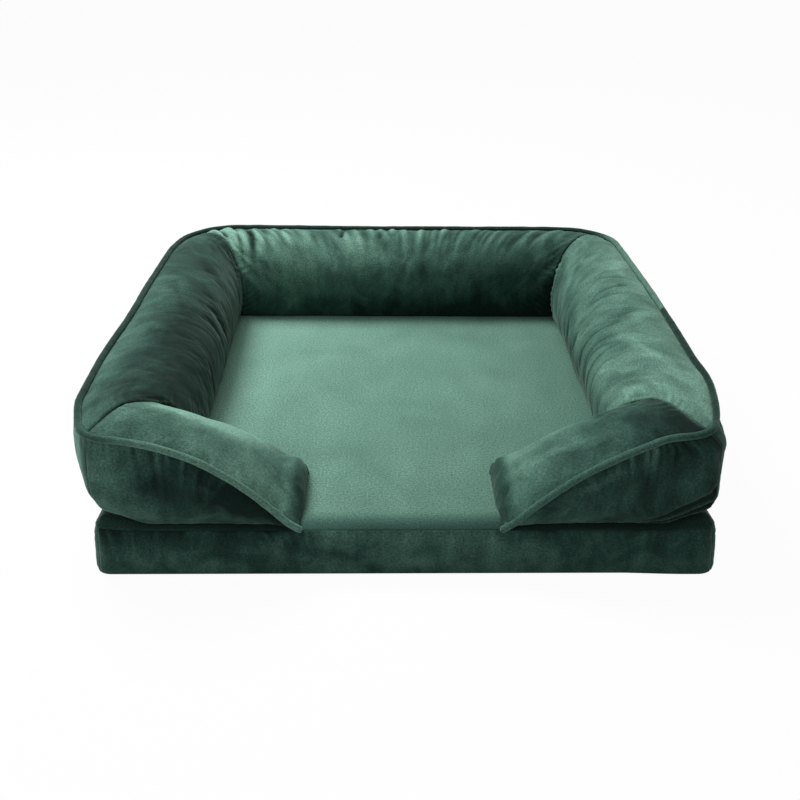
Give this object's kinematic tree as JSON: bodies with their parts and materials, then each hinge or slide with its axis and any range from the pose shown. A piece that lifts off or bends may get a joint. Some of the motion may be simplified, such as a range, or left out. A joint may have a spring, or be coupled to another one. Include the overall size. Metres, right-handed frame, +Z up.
{
  "type": "dog bed",
  "caption": "Square sofa-style dog bed: a foam mattress in a zipped velvet cover, with a piped bolster round the sides and back and sloping wings beside a low entrance.",
  "frame": {"origin": "on the floor, under the middle of the bed's overall length and width", "axes": "+Z up, +Y towards the back bolster, +X to the right seen from the entrance"},
  "size_m": [0.9456, 0.9146, 0.2464],
  "materials": {
    "cover_velvet": "deep green short-pile velvet with crushed pile",
    "piping_velvet": "the same velvet, cut on the bias round a cord",
    "cotton_cord": "twisted cotton filler cord",
    "non_slip_cloth": "dark coarse cloth with small grip dots",
    "foam": "open-cell polyurethane foam",
    "insert_lining": "white non-woven lining over fibre filling",
    "zip_tape": "dark green woven tape",
    "zip_teeth": "dark green moulded plastic",
    "zip_metal": "dark green enamel on die-cast zinc"
  },
  "bodies": {
    "bed": {"mattress_top_panel": "cover_velvet", "front_boxing": "cover_velvet", "left_boxing": "cover_velvet", "right_boxing": "cover_velvet", "rear_boxing_upper": "cover_velvet", "rear_boxing_lower": "cover_velvet", "rear_foot_band": "cover_velvet", "left_bolster_outer_panel": "cover_velvet", "right_bolster_outer_panel": "cover_velvet", "rear_bolster_outer_panel": "cover_velvet", "left_bolster_top_panel": "cover_velvet", "right_bolster_top_panel": "cover_velvet", "rear_bolster_top_panel": "cover_velvet", "left_wing_front_panel": "cover_velvet", "right_wing_front_panel": "cover_velvet", "left_wing_top_panel": "cover_velvet", "right_wing_top_panel": "cover_velvet", "piping_sleeve": "piping_velvet", "piping_cord": "cotton_cord", "non_slip_bottom_panel": "non_slip_cloth", "foam_slab": "foam", "left_bolster_insert": "insert_lining", "right_bolster_insert": "insert_lining", "rear_bolster_insert": "insert_lining", "left_wing_insert": "insert_lining", "right_wing_insert": "insert_lining", "base_zip_tape_upper": "zip_tape", "base_zip_teeth_upper": "zip_teeth", "base_zip_tape_lower": "zip_tape", "base_zip_teeth_lower": "zip_teeth", "base_zip_end_stops": "zip_teeth", "bolster_zip_tape_upper": "zip_tape", "bolster_zip_teeth_upper": "zip_teeth", "bolster_zip_tape_lower": "zip_tape", "bolster_zip_teeth_lower": "zip_teeth", "bolster_zip_end_stops": "zip_teeth"},
    "base_zip_slider": {"base_zip_slider": "zip_metal"},
    "base_zip_pull": {"base_zip_pull": "zip_metal"},
    "bolster_zip_slider": {"bolster_zip_slider": "zip_metal"},
    "bolster_zip_pull": {"bolster_zip_pull": "zip_metal"}
  },
  "joints": [
    {"name": "base_zip_slide", "type": "slide", "parent": "bed", "child": "base_zip_slider", "axis": [-1, 0, 0], "range_m": [0, 0.64], "deforming": ["base_zip_tape_upper", "base_zip_teeth_upper", "base_zip_tape_lower", "base_zip_teeth_lower"]},
    {"name": "base_zip_pull_swing", "type": "hinge", "parent": "base_zip_slider", "child": "base_zip_pull", "pos_m": [0.3285, 0.44661, 0.04], "axis": [0, 0, -1], "range_deg": [0, 170]},
    {"name": "bolster_zip_slide", "type": "slide", "parent": "bed", "child": "bolster_zip_slider", "axis": [-1, 0, 0], "range_m": [0, 0.32], "deforming": ["bolster_zip_tape_upper", "bolster_zip_teeth_upper", "bolster_zip_tape_lower", "bolster_zip_teeth_lower"]},
    {"name": "bolster_zip_pull_swing", "type": "hinge", "parent": "bolster_zip_slider", "child": "bolster_zip_pull", "pos_m": [0.1685, 0.44661, 0.0913], "axis": [0, 0, -1], "range_deg": [0, 170]}
  ]
}
